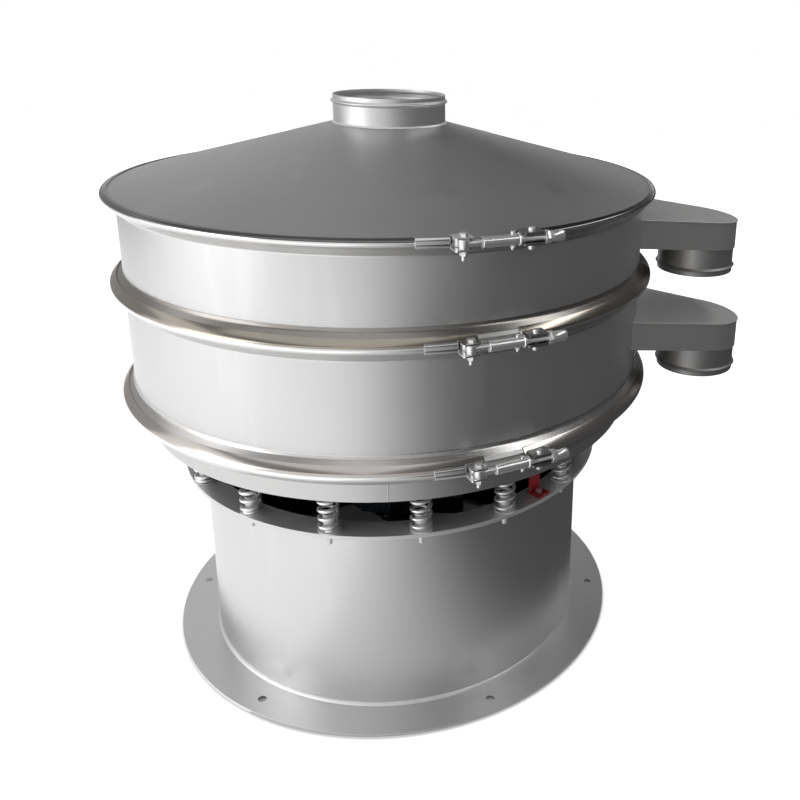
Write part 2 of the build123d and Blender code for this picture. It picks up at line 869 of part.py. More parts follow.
save("base_flange", base_flange())
save("base_shell", base_shell())
save("base_top_ring", base_top_ring())
save("spring_lower_seats", *around(lower_seat(), spring_count, spring_circle_radius, spring_phase))
ring_underside = base_height - base_ring_thickness
save("spring_lower_nuts", *around(
    seat_nut(ring_underside - nut_height), spring_count, spring_circle_radius, spring_phase))
save("coil_springs", *around(coil_spring(), spring_count, spring_circle_radius, spring_phase))
save("lock_bracket", lock_bracket())
save("lock_bolt", lock_bolt())
save("lock_nut", lock_nut())

save("body_skirt", body_skirt())
save("body_plate", body_plate())
save("body_gussets", *body_gussets())
save("spring_upper_seats", *around(upper_seat(), spring_count, spring_circle_radius, spring_phase))
save("spring_upper_nuts", *around(
    seat_nut(plate_top), spring_count, spring_circle_radius, spring_phase))
save("lower_frame", lower_frame())
save("lower_spout", spout(lower_roof, lower_spout_turn))
save("lower_spout_roof", spout_roof(lower_roof, lower_spout_turn))
save("discharge_dome", discharge_dome())
save("screen_frame", screen_frame())
save("screen_spokes", screen_spokes())
save("screen_mesh", screen_mesh())
save("upper_frame", upper_frame())
save("upper_spout", spout(upper_roof, upper_spout_turn))
save("upper_spout_roof", spout_roof(upper_roof, upper_spout_turn))
save(
    "joint_gaskets",
    gasket(body_joint, -joint_half_gap, joint_half_gap),
    gasket(screen_joint, screen_flange_thickness - joint_half_gap, joint_half_gap),
    gasket(lid_joint, -lid_half_gap, lid_half_gap),
)
save("lid_cone", lid_cone())
save("feed_inlet", feed_inlet())

names = list(joints)
for name in names:
    save(name + "_clamp_band", clamp_band(name))
    save(name + "_swing_bolt", swing_bolt(name))
    save(name + "_bolt_spacer", spacer(name))
    save(name + "_sleeve_nut", sleeve_nut(name))
save("clamp_sleeves", *[half_sleeve(name) for name in names])
save("clamp_hinge_lugs", *[hinge_lug(name) for name in names])
save("clamp_fork_lugs", *[fork_lug(name) for name in names])
save("clamp_hinge_pins", *[hinge_pin(name) for name in names])
save("clamp_pin_nuts", *[hinge_pin_nut(name) for name in names])
save("clamp_fork_stubs", *[stub for name in names for stub in fork_stubs(name)])

save("motor_housing", motor_housing())
save("motor_end_covers", end_cover(housing_low, -1), end_cover(housing_high, 1))
save("motor_stator", motor_stator())
save("rotor_core", rotor_core())
save("motor_bearings", bearing(housing_low, -1), bearing(housing_high, 1))
save("terminal_box", terminal_box())
save("terminal_lid", terminal_lid_plate())
save("cable_gland", cable_gland())
save("motor_bolts", *around(motor_bolt(), motor_bolt_count, motor_bolt_circle, 0.0))
save("motor_nuts", *around(motor_nut(), motor_bolt_count, motor_bolt_circle, 0.0))
save("motor_shaft", motor_shaft())
save("upper_weight", eccentric_weight(upper_weight_low, weight_turn, shaft_radius))
save("upper_weight_screw", weight_screw(upper_weight_low, weight_turn))
lower_weight_low = lower_weight_top - weight_thickness
save("lower_weight", eccentric_weight(lower_weight_low, weight_turn, shaft_radius + running_clearance))
save("lower_weight_screw", weight_screw(lower_weight_low, weight_turn))
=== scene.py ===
import bpy, bmesh
from math import atan, cos, pi, radians, sin, tan
from mathutils import Matrix, Vector


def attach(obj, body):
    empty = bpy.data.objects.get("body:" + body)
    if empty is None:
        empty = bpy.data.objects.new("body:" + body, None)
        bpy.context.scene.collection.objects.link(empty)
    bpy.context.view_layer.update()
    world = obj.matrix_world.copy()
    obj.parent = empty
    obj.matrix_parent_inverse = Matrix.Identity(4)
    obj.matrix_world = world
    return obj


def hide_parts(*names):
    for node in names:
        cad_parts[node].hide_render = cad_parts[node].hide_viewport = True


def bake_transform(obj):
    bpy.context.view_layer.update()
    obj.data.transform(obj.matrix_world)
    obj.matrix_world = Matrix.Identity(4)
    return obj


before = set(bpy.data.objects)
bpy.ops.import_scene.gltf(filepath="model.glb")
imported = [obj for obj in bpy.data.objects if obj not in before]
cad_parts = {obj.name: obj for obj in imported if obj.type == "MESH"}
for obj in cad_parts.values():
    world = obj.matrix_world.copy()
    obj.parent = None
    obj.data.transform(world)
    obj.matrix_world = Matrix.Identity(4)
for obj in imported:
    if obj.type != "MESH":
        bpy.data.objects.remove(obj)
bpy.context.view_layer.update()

mm = 0.001

# Sizes of the machine that the looks need, in millimetres from the floor and the axis
BAND_RADIUS = 600.0
BAND_SHEET = 2.5
BAND_DEPTH = 14.0
BAND_OPENING = 8.0          # degrees, at the closure
BAND_PLAY = 0.3             # between a band's leg and the flange's edge
FRAME_RADIUS = 573.0
FLANGE_RADIUS = 592.0
FLANGE_RIM = 4.2            # upright thickness of a flange's edge
FLANGE_LEAN = radians(45)
FLANGE_CLIMB = FLANGE_RADIUS - FRAME_RADIUS
LID_RIM = 3.0
SHEET = 3.0
BODY_JOINT = 641.0
SCREEN_JOINT = 886.0
LID_JOINT = 1074.0
JOINT_GAP = 5.0             # from a joint's plane to the flange beside it
LID_GAP = 2.0
COLLAR_RADIUS = 123.0
COLLAR_FOOT = 1204.0
COLLAR_TOP = 1265.0
COLLAR_SUNK = 18.0
SHELL_RADIUS = 445.0
SKIRT_RADIUS = 550.0
BASE_TOP = 452.0
BASE_HOLE = 432.0
BASE_RING = 488.0
BASE_RING_LOW = 443.0
SPOUT_FLOORS = {"upper_spout": 932.0, "lower_spout": 712.0}
SPRING_CIRCLE = 467.0
SPRING_PHASE = 8.4          # degrees
SPRING_COUNT = 16
SPRING_LOW = 455.0
SPRING_HIGH = 562.0
SPRING_WIRE = 4.2           # radius of the wire
SPRING_COIL = 18.7          # radius of the coil at the wire's middle
CLOSURES = {"lid": -70.2, "screen": -68.9, "body": -67.4}   # degrees round the axis
CLOSURE_OUT = 12.0          # a bolt's line outside its band
PIN_REACH = 63.0            # along a closure, from its middle to the hinge pin and to the fork stubs
STUD_REACH = 27.0           # from its middle to the stud on the distance tube
BOLT_FOOT = -24.0           # where the thread starts, from the closure's middle
BOLT_TIP = 114.0
BOLT_CORE = 5.3
BOLT_CREST = 6.0
BOLT_PITCH = 1.75
EYE_HALF = 8.7
NUT_START = 86.5

# Steps of the round forms
ROUND_STEPS = 192
BAND_STEPS = 224
COLLAR_STEPS = 128
CORNER_STEPS = 3
WIRE_SIDES = 12
COIL_STEPS = 28             # in a turn
THREAD_STEPS = 20           # in a turn

# Distances in metres at which corners of a mesh are one, and angles in degrees of its edges
SAME_SPOT = 0.000002
SAME_CAD_SPOT = 0.00001
SHARP = 35.0                # shown sharp from this angle on
SHARP_COPY = 28.0
SHARP_TURNED = 40.0
SHARP_ROUNDED = 50.0
CORNER_ANGLE = 40.0         # a corner to round
FLAT_ANGLE = 0.2            # no corner at all


class Value:
    """A number or colour on a surface. Arithmetic on it adds Math nodes."""

    def __init__(self, recipe, socket):
        self.recipe = recipe
        self.socket = socket

    def combine(self, operation, first, second):
        return self.recipe.node("Math", {"operation": operation}, {0: first, 1: second})

    def __add__(self, other):
        return self.combine("ADD", self, other)

    __radd__ = __add__

    def __mul__(self, other):
        return self.combine("MULTIPLY", self, other)

    __rmul__ = __mul__

    def __sub__(self, other):
        return self.combine("SUBTRACT", self, other)

    def __rsub__(self, other):
        return self.combine("SUBTRACT", other, self)

    def above(self, level, width):
        """0 below a level, rising to 1 over a width."""
        return self.recipe.node(
            "Map Range", {}, {0: self, 1: level - width / 2, 2: level + width / 2})


KINDS = {
    "Math": "ShaderNodeMath", "Map Range": "ShaderNodeMapRange", "Noise": "ShaderNodeTexNoise",
    "Wave": "ShaderNodeTexWave", "Coordinates": "ShaderNodeTexCoord", "Mapping": "ShaderNodeMapping",
    "Bump": "ShaderNodeBump", "Mix": "ShaderNodeMix", "Split": "ShaderNodeSeparateXYZ",
    "Geometry": "ShaderNodeNewGeometry", "Light Path": "ShaderNodeLightPath",
    "Vector Math": "ShaderNodeVectorMath",
}


class Recipe:
    """The nodes of one finish."""

    def __init__(self, name):
        self.material = bpy.data.materials.new(name)
        self.material.use_nodes = True
        self.tree = self.material.node_tree
        self.shader = self.tree.nodes["Principled BSDF"]

    def connect(self, socket, value):
        if isinstance(value, Value):
            self.tree.links.new(value.socket, socket)
        else:
            socket.default_value = value

    def node(self, kind, settings, inputs, out=0):
        """Adds a node: its settings first, then the values or links of its sockets."""
        node = self.tree.nodes.new(KINDS[kind])
        for key, value in settings.items():
            setattr(node, key, value)
        for key, value in inputs.items():
            self.connect(node.inputs[key], value)
        return Value(self, node.outputs[out])

    def place(self, stretch=(1, 1, 1)):
        """Object coordinates in metres, stretched."""
        spot = self.node("Coordinates", {}, {}, "Object")
        return self.node("Mapping", {}, {"Vector": spot, "Scale": stretch})

    def distance(self, stretch=(1, 1, 1)):
        """Metres from the origin, or from the upright axis where Z is stretched to 0."""
        return self.node("Vector Math", {"operation": "LENGTH"}, {0: self.place(stretch)}, 1)

    def noise(self, scale, detail=2.0, stretch=(1, 1, 1)):
        return self.node("Noise", {}, {"Vector": self.place(stretch), "Scale": scale, "Detail": detail})

    def blend(self, share, first, second):
        """Mixes two colours."""
        return self.node("Mix", {"data_type": "RGBA"}, {0: share, 6: first, 7: second}, 2)

    def bump(self, height, depth, strength):
        return self.node("Bump", {}, {"Height": height, "Distance": depth, "Strength": strength})

    def finish(self, **sockets):
        for key, value in sockets.items():
            self.connect(self.shader.inputs[key.replace("_", " ")], value)
        return self.material


def grey(level, warmth=0.0):
    return (level + warmth, level, level - warmth, 1.0)


def satin_steel(name, level, warmth, rough, waviness, metal, painted_shade_radius=0.0, marks=1.0):
    """Bead-blasted sheet: even and dull, with faint clouds, rub marks, fine grain and slight
    buckling. Within a given radius in millimetres the sheet is painted near black: painted shade inside it."""
    r = Recipe(name)
    clouds = r.noise(3.1, 4.0)
    rubbed = r.noise(14.0, 3.0, (1, 1, 0.12)).above(0.63, 0.12) * marks
    grain = r.noise(850.0, 1.0)
    buckle = r.noise(2.6, 1.0)
    dull = grey(level * 0.92, warmth)
    clean = grey(level * 1.05, warmth)
    colour = r.blend(clouds, dull, clean)
    colour = r.blend(rubbed * 0.3, colour, grey(level * 1.1, warmth))
    # Painted shade: inside the given radius the sheet is near black.
    if painted_shade_radius:
        clear_of_painted_shade = r.distance((1, 1, 0)).above(painted_shade_radius * mm, 0.001)
        colour = r.blend(clear_of_painted_shade, grey(0.03), colour)
    surface = grain * 0.00008 + buckle * waviness
    return r.finish(
        Base_Color=colour,
        Metallic=metal,
        Roughness=rough + 0.08 * (clouds - 0.5) - 0.06 * rubbed,
        Normal=r.bump(surface, 1.0, 0.8))


def polished_steel(name, dull, bright, rough=0.09):
    """Rolled and polished band, with fine lines along the roll."""
    r = Recipe(name)
    lines = r.noise(60.0, 3.0, (0.05, 0.05, 30.0))
    spots = r.noise(9.0, 3.0)
    return r.finish(
        Base_Color=r.blend(spots, dull, bright),
        Metallic=1.0,
        Roughness=rough + 0.07 * lines + 0.05 * spots,
        Normal=r.bump(lines, 0.00004, 0.5))


def zinc_plate():
    """Bright zinc on springs, bolts and nuts: faint blue and yellow drifts."""
    r = Recipe("bright_zinc")
    drift = r.noise(38.0, 3.0)
    scuff = r.noise(160.0, 2.0).above(0.62, 0.1)
    colour = r.blend(drift, (0.78, 0.80, 0.84, 1), (0.86, 0.85, 0.81, 1))
    return r.finish(
        Base_Color=r.blend(scuff * 0.3, colour, grey(0.6)),
        Metallic=0.85,
        Roughness=0.24 + 0.12 * drift + 0.1 * scuff,
        Normal=r.bump(r.noise(300.0, 2.0), 0.00006, 0.5))


def cast_steel():
    """Investment-cast fork lugs: dark, slightly pitted, rubbed bright on the edges."""
    r = Recipe("cast_lug_steel")
    skin = r.noise(240.0, 4.0)
    worn = r.node("Geometry", {}, {}, "Pointiness").above(0.56, 0.08)
    colour = r.blend(skin, grey(0.10), grey(0.20, 0.004))
    return r.finish(
        Base_Color=r.blend(worn * 0.7, colour, grey(0.45)),
        Metallic=0.9,
        Roughness=0.42 + 0.12 * skin - 0.1 * worn,
        Normal=r.bump(skin, 0.00015, 0.6))


def weld_steel():
    """Weld bead: rippled, in two pale greys."""
    r = Recipe("weld_bead")
    ripple = r.noise(420.0)
    return r.finish(
        Base_Color=r.blend(r.noise(30.0), grey(0.80), grey(0.92)),
        Metallic=0.7,
        Roughness=0.34 + 0.15 * ripple,
        Normal=r.bump(ripple, 0.0006, 0.8))


def rubber(name, dark, light, rough):
    r = Recipe(name)
    mottle = r.noise(70.0, 4.0)
    return r.finish(
        Base_Color=r.blend(mottle, dark, light),
        Roughness=rough + 0.12 * mottle,
        Normal=r.bump(r.noise(500.0, 2.0), 0.0001, 0.5))


def paint(name, colour, chipped, rough):
    """Sprayed paint with worn corners that show steel."""
    r = Recipe(name)
    runs = r.noise(26.0, 3.0)
    corner = r.node("Geometry", {}, {}, "Pointiness").above(0.57, 0.05)
    chips = r.noise(120.0, 4.0).above(0.60, 0.06) * corner
    deep = tuple(0.82 * part for part in colour[:3]) + (1,)
    shade = r.blend(runs, deep, colour)
    return r.finish(
        Base_Color=r.blend(chips * chipped, shade, grey(0.4)),
        Metallic=chips * chipped * 0.9,
        Roughness=rough + 0.12 * runs,
        Normal=r.bump(r.noise(140.0, 3.0), 0.00012, 0.5))


def woven_wire():
    """Sieve cloth: square weave, with painted shade in its openings."""
    r = Recipe("woven_wire")
    across, along = (
        r.node("Wave", {"wave_type": "BANDS", "bands_direction": way}, {"Vector": r.place(), "Scale": 80.0})
        for way in "XY")
    weave = (across + along) * 0.5
    return r.finish(
        Base_Color=r.blend(weave, grey(0.12), grey(0.62)),
        Metallic=1.0,
        Roughness=0.5 - 0.15 * weave,
        Normal=r.bump(weave, 0.0006, 0.8))


# Finishes. Sheet: level, warmth, roughness, waviness in metres, share of metal
SATIN = satin_steel("satin_steel", 0.64, 0.0, 0.40, 0.0012, 0.9)
LID_SATIN = satin_steel("lid_satin_steel", 0.51, 0.0, 0.40, 0.004, 0.9)
SPOUT_SATIN = satin_steel("spout_satin_steel", 0.66, 0.008, 0.44, 0.001, 0.86)
# A darker copy of the spout's sheet for its outlets: painted shade.
OUTLET_SATIN_PAINTED_SHADE = satin_steel("outlet_satin_steel_painted_shade", 0.40, 0.006, 0.46, 0.001, 0.86)
FLANGE_SATIN = satin_steel("flange_satin_steel", 0.84, 0.0, 0.34, 0.0, 0.9, marks=0.0)
RING_SATIN = satin_steel("ring_satin_steel", 0.74, 0.0, 0.40, 0.0, 0.6, marks=0.0)
COLLAR_SATIN = satin_steel("collar_satin_steel", 0.80, 0.0, 0.38, 0.0008, 0.9)
# Base shell and skirt: satin outside, near black inside as painted shade.
BASE_SATIN_PAINTED_SHADE_INSIDE = satin_steel("base_satin_steel_painted_shade_inside", 0.64, 0.0, 0.38, 0.0012, 0.9, SHELL_RADIUS - 1.5)
SKIRT_SATIN_PAINTED_SHADE_INSIDE = satin_steel("skirt_satin_steel_painted_shade_inside", 0.56, 0.004, 0.38, 0.001, 0.9, SKIRT_RADIUS - 2.0)
# Raw steel inside the body, darkened to near black: painted shade.
RAW_STEEL_PAINTED_SHADE = satin_steel("raw_steel_painted_shade", 0.07, 0.0, 0.5, 0.0, 0.9)
PALE_CAST = satin_steel("pale_cast_steel", 0.86, 0.004, 0.26, 0.0, 0.78)
# Zinc on the lower seats, paler and duller than elsewhere: painted light that offsets the shade inside the
# coils.
PALE_ZINC_PAINTED_LIGHT = satin_steel("pale_zinc_painted_light", 0.86, 0.002, 0.34, 0.0, 0.3)
BAND = polished_steel("polished_band", grey(0.74), grey(0.84, 0.004))
# Upper sides of the bands: painted reflection, dark on the lid band, brown on the screen band, pale on the
# body band. Undersides: painted shade.
BAND_TOPS_PAINTED_REFLECTION = {
    "lid": polished_steel("lid_band_upper_side_painted_reflection", grey(0.15, 0.004), grey(0.22, 0.006), 0.14),
    "screen": polished_steel(
        "screen_band_upper_side_painted_reflection", (0.36, 0.33, 0.29, 1), (0.50, 0.45, 0.39, 1), 0.12),
    "body": polished_steel(
        "body_band_upper_side_painted_reflection", (0.56, 0.52, 0.49, 1), (0.68, 0.64, 0.61, 1), 0.12)}
BAND_UNDER_PAINTED_SHADE = polished_steel("band_under_side_painted_shade", grey(0.58, 0.004), grey(0.66, 0.006), 0.22)
# Frame rims in two tones, dark and warm above the screen joint, pale above the body joint: painted
# reflection.
RIMS_PAINTED_REFLECTION = {
    "screen": polished_steel("upper_frame_rim_painted_reflection", grey(0.30, 0.02), grey(0.38, 0.02), 0.2),
    "body": polished_steel("lower_frame_rim_painted_reflection", grey(0.56, 0.01), grey(0.66, 0.012), 0.2)}
ZINC = zinc_plate()
CAST = cast_steel()
WELD = weld_steel()
SEAL = rubber("seal_rubber", (0.52, 0.50, 0.46, 1), (0.70, 0.68, 0.62, 1), 0.55)
GLAND = rubber("black_nylon", (0.01, 0.01, 0.011, 1), (0.03, 0.03, 0.032, 1), 0.35)
RED = paint("red_paint", (0.34, 0.012, 0.018, 1), 0.7, 0.30)
MOTOR = paint("motor_paint", (0.055, 0.07, 0.085, 1), 0.3, 0.4)
CORE = paint("bare_core", (0.16, 0.13, 0.10, 1), 0.3, 0.5)
WIRE = woven_wire()


# Making pieces
def to_mesh(name, bm):
    mesh = bpy.data.meshes.new(name)
    bm.to_mesh(mesh)
    bm.free()
    return mesh


def add_object(name, data):
    thing = bpy.data.objects.new(name, data)
    bpy.context.scene.collection.objects.link(thing)
    return thing


def finish_piece(name, bm, body, material, nodes=(), sharp=SHARP, wall_out=True):
    """Turns a bmesh into a smooth-shaded piece that rides a body."""
    bmesh.ops.remove_doubles(bm, verts=bm.verts, dist=SAME_SPOT)
    if wall_out:
        bmesh.ops.recalc_face_normals(bm, faces=bm.faces)
    for face in bm.faces:
        face.smooth = True
    for edge in bm.edges:
        if len(edge.link_faces) == 2:
            edge.smooth = edge.calc_face_angle(0.0) < radians(sharp)
    mesh = to_mesh(name, bm)
    mesh.materials.append(material)
    piece = add_object(name, mesh)
    if nodes:
        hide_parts(*nodes)
    if body:
        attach(piece, body)
    return piece


def paint_reflection_and_shade(piece, above, below, limit=0.35):
    """Gives the faces that look up a painted reflection and those that look down a painted shade."""
    piece.data.materials.append(above)
    piece.data.materials.append(below)
    for face in piece.data.polygons:
        if face.normal.z > limit:
            face.material_index = 1
        elif face.normal.z < -limit:
            face.material_index = 2


def round_off(bm, geom, size, segments=2, affect="EDGES", clamp=False):
    """Rounds edges or corners by a size in millimetres."""
    bmesh.ops.bevel(
        bm, geom=geom, offset=size * mm, offset_type="OFFSET", segments=segments, profile=0.5,
        affect=affect, clamp_overlap=clamp, material=-1)


def spin(bm, geom, angle, steps, lift=0.0, merge=False):
    """Turns a form about Z, rising by a lift in millimetres. Returns its last state."""
    spun = bmesh.ops.spin(
        bm, geom=geom, cent=(0, 0, 0), axis=(0, 0, 1), angle=angle, steps=steps,
        dvec=(0, 0, lift * mm / steps), use_merge=merge)
    return spun["geom_last"]


def dress(node, body, material, edge=0.0):
    """A smooth-shaded copy of a CAD node, with its corners broken by an edge width."""
    bm = bmesh.new()
    bm.from_mesh(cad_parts[node].data)
    bmesh.ops.remove_doubles(bm, verts=bm.verts, dist=SAME_CAD_SPOT)
    if edge:
        bmesh.ops.dissolve_limit(bm, angle_limit=radians(FLAT_ANGLE), verts=bm.verts, edges=bm.edges)
        corners = [e for e in bm.edges
                   if len(e.link_faces) == 2 and e.calc_face_angle(0.0) > radians(CORNER_ANGLE)]
        round_off(bm, corners, edge, clamp=True)
    sharp = SHARP_ROUNDED if edge else SHARP_COPY
    skin = finish_piece(node + "_skin", bm, body, material, (node,), sharp, False)
    if edge:
        even = skin.modifiers.new("even_normals", "WEIGHTED_NORMAL")
        even.keep_sharp = True
    return skin


def outline(bm, points, rounding=None):
    """A flat closed profile in the XZ plane, in millimetres, with its corners rounded."""
    verts = [bm.verts.new((r * mm, 0, z * mm)) for r, z in points]
    bm.faces.new(verts)
    if rounding:
        for place, size in rounding.items():
            round_off(bm, [verts[place]], size, CORNER_STEPS, "VERTICES")
    edges = list(bm.edges)
    bmesh.ops.delete(bm, geom=list(bm.faces), context="FACES_ONLY")
    return edges


def turn_profile(points, rounding=None, steps=ROUND_STEPS, arc=360.0, start=0.0):
    """Spins a profile about the machine's axis. A part of a turn gets closed ends."""
    bm = bmesh.new()
    edges = outline(bm, points, rounding)
    verts = list({v for e in edges for v in e.verts})
    bmesh.ops.rotate(bm, verts=verts, cent=(0, 0, 0), matrix=Matrix.Rotation(radians(start), 3, "Z"))
    full = arc >= 360.0
    spin(bm, edges + verts, radians(arc), steps, merge=full)
    if not full:
        bmesh.ops.holes_fill(bm, edges=[e for e in bm.edges if e.is_boundary], sides=0)
    return bm


def ring(name, points, body, material, nodes=(), rounding=None, steps=ROUND_STEPS):
    finish_piece(name, turn_profile(points, rounding, steps), body, material, nodes)


def move(bm, offset):
    bmesh.ops.translate(bm, verts=bm.verts, vec=Vector(offset) * mm)


def set_in(bm, matrix):
    bmesh.ops.transform(bm, matrix=matrix, verts=bm.verts)


def add_into(target, source):
    """Appends one bmesh to another."""
    scratch = to_mesh("scratch", source)
    target.from_mesh(scratch)
    bpy.data.meshes.remove(scratch)


def rod(points, steps=32):
    """A turned form about local Z from its half outline, axis points included."""
    bm = bmesh.new()
    verts = [bm.verts.new((r * mm, 0, z * mm)) for r, z in points]
    edges = [bm.edges.new(pair) for pair in zip(verts, verts[1:])]
    spin(bm, edges + verts, 2 * pi, steps, merge=True)
    bmesh.ops.remove_doubles(bm, verts=bm.verts, dist=SAME_SPOT)
    return bm


def hex_nut(flats, low, high):
    """A nut with chamfered corners."""
    bm = bmesh.new()
    corner = flats / 2 / cos(pi / 6)
    bmesh.ops.create_circle(bm, cap_ends=True, segments=6, radius=corner * mm)
    grown = bmesh.ops.extrude_face_region(bm, geom=list(bm.faces))
    tops = [v for v in grown["geom"] if isinstance(v, bmesh.types.BMVert)]
    bmesh.ops.translate(bm, verts=tops, vec=(0, 0, (high - low) * mm))
    level = [e for e in bm.edges if abs((e.verts[0].co - e.verts[1].co).z) < 1e-7]
    round_off(bm, level, 0.9)
    move(bm, (0, 0, low))
    return bm


# Springs and their seats. Outlines are given as radius and height.
def spring_circle(make):
    """Copies of a small upright form on the springs' circle."""
    total = bmesh.new()
    for place in range(SPRING_COUNT):
        item = make()
        angle = radians(SPRING_PHASE + 360.0 * place / SPRING_COUNT)
        set_in(item, Matrix.Rotation(angle, 4, "Z") @ Matrix.Translation((SPRING_CIRCLE * mm, 0, 0)))
        add_into(total, item)
    return total


def coil():
    """One compression spring with closed ends, from stages of turns and rise."""
    bm = bmesh.new()
    bmesh.ops.create_circle(bm, cap_ends=True, segments=WIRE_SIDES, radius=SPRING_WIRE * mm)
    foot = Matrix.Translation((SPRING_COIL * mm, 0, (SPRING_LOW + SPRING_WIRE) * mm))
    set_in(bm, foot @ Matrix.Rotation(pi / 2, 4, "X"))
    geom = list(bm.verts) + list(bm.edges) + list(bm.faces)
    rise = SPRING_HIGH - SPRING_LOW - 2 * SPRING_WIRE
    closed, opening = (0.75, 3.0), (0.15, 1.3)
    free = (4.9, rise - 2 * (closed[1] + opening[1]))
    for turns, lift in closed, opening, free, opening, closed:
        geom = spin(bm, geom, 2 * pi * turns, max(3, round(turns * COIL_STEPS)), lift)
    return bm


springs = finish_piece(
    "spring_coils", spring_circle(coil), None, ZINC, ("coil_springs",),
    SHARP_ROUNDED)
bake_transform(springs)


def low_seat():
    """Turned cup with a guide tube, open at its top, and a stud below."""
    return rod([
        (0, 419), (4.2, 419), (5, 420), (5, 451.5), (22, 452.1), (23, 453), (23, 454.4), (22.4, 455),
        (12.5, 455), (12.5, 487), (11.9, 489), (10, 489), (9.6, 487), (9.6, 460), (0, 460)])


def high_seat():
    """The same upside down, with a shorter guide tube."""
    return rod([
        (0, 590), (4.2, 590), (5, 589), (5, 566), (22, 564.9), (23, 564), (23, 562.6), (22.4, 562),
        (12.5, 562), (12.5, 540), (11.9, 538), (10, 538), (9.6, 540), (9.6, 558), (0, 558)])


for name, make, body, material, node in (
        ("spring_low_seat_set", low_seat, "base", PALE_ZINC_PAINTED_LIGHT, "spring_lower_seats"),
        ("spring_high_seat_set", high_seat, "sieve_body", ZINC, "spring_upper_seats"),
        ("spring_low_nut_set", lambda: hex_nut(17, 435, 443), "base", ZINC, "spring_lower_nuts"),
        ("spring_high_nut_set", lambda: hex_nut(17, 577, 585), "sieve_body", ZINC, "spring_upper_nuts")):
    finish_piece(name, spring_circle(make), body, material, (node,))


# Clamp bands: V section with a rolled crest, open at the closure
def leg(edge, slope):
    """Heights of one leg above the joint: mouth inside and outside, crest inside and outside."""
    lean, lift = tan(slope), BAND_SHEET / cos(slope)
    mouth, crest = BAND_RADIUS - BAND_DEPTH, BAND_RADIUS - BAND_SHEET
    inner_mouth = edge + BAND_PLAY + (FLANGE_RADIUS - mouth) * lean
    inner_crest = edge + BAND_PLAY - (crest - FLANGE_RADIUS) * lean
    outer_crest = edge + BAND_PLAY - (BAND_RADIUS - FLANGE_RADIUS) * lean + lift
    return inner_mouth, inner_mouth + lift, inner_crest, outer_crest


def clamp_band(name, joint, top, low):
    mouth, crest = BAND_RADIUS - BAND_DEPTH, BAND_RADIUS - BAND_SHEET
    points = [
        (mouth, joint + top[0]), (mouth, joint + top[1]), (BAND_RADIUS, joint + top[3]),
        (BAND_RADIUS, joint - low[3]), (mouth, joint - low[1]), (mouth, joint - low[0]),
        (crest, joint - low[2]), (crest, joint + top[2])]
    bm = turn_profile(
        points, {0: 0.6, 1: 0.6, 2: 4.5, 3: 4.5, 4: 0.6, 5: 0.6}, BAND_STEPS, 360 - BAND_OPENING,
        CLOSURES[name] + BAND_OPENING / 2)
    rolled = finish_piece(name + "_band_rolled", bm, "sieve_body", BAND,
                          (name + "_clamp_band",), SHARP_ROUNDED)
    # Painted reflection on the faces that look up, painted shade on those that look down.
    paint_reflection_and_shade(rolled, BAND_TOPS_PAINTED_REFLECTION[name], BAND_UNDER_PAINTED_SHADE)


lid_slope = atan((COLLAR_FOOT - LID_JOINT - LID_GAP - LID_RIM) / (FLANGE_RADIUS - COLLAR_RADIUS))
lid_legs = leg(LID_GAP + LID_RIM, lid_slope), leg(LID_GAP + FLANGE_RIM, FLANGE_LEAN)
frame_leg = leg(JOINT_GAP + FLANGE_RIM, FLANGE_LEAN)
clamp_band("lid", LID_JOINT, *lid_legs)
clamp_band("screen", SCREEN_JOINT, frame_leg, frame_leg)
clamp_band("body", BODY_JOINT, frame_leg, frame_leg)

# Sheet parts whose CAD form is right: smooth-shaded copies, some with broken edges
for node, material, slot, edge in (
        ("upper_frame", SATIN, "satin_steel", 0.0),
        ("lower_frame", SATIN, "satin_steel", 0.0),
        ("body_skirt", SKIRT_SATIN_PAINTED_SHADE_INSIDE, "satin_steel", 0.0),
        ("lid_cone", LID_SATIN, "satin_steel", 0.0),
        ("upper_spout_roof", SPOUT_SATIN, "spout_steel", 0.8),
        ("lower_spout_roof", SPOUT_SATIN, "spout_steel", 0.8),
        ("joint_gaskets", SEAL, "seal_rubber", 0.0),
        ("screen_frame", SATIN, "satin_steel", 0.0),
        ("clamp_sleeves", BAND, "band_steel", 0.5),
        ("clamp_hinge_lugs", BAND, "band_steel", 2.0),
        ("clamp_fork_lugs", CAST, "dark_steel", 1.0),
        ("motor_housing", MOTOR, "motor_paint", 0.0),
        ("motor_end_covers", MOTOR, "motor_paint", 0.8),
        ("discharge_dome", SATIN, "satin_steel", 0.0),
        ("body_gussets", RAW_STEEL_PAINTED_SHADE, "satin_steel", 0.8),
        ("terminal_box", MOTOR, "motor_paint", 2.5),
        ("terminal_lid", MOTOR, "motor_paint", 1.5)):
    dress(node, "sieve_body", material, edge)
for node, floor_height in SPOUT_FLOORS.items():
    spout = dress(node, "sieve_body", SPOUT_SATIN, 0.7)
    # Faces below a spout's floor take the darker copy: painted shade on the outlet.
    spout.data.materials.append(OUTLET_SATIN_PAINTED_SHADE)
    for face in spout.data.polygons:
        if face.center.z < floor_height * mm:
            face.material_index = 1
dress("base_shell", "base", BASE_SATIN_PAINTED_SHADE_INSIDE)
dress("base_flange", "base", FLANGE_SATIN, 0.8)
dress("lock_bracket", "base", RED, 1.2)
ring("spring_ring", [(BASE_HOLE, BASE_RING_LOW), (BASE_RING, BASE_RING_LOW), (BASE_RING, BASE_TOP),
                     (BASE_HOLE, BASE_TOP)],
     "base", RING_SATIN, ("base_top_ring",), dict.fromkeys(range(4), 0.8))

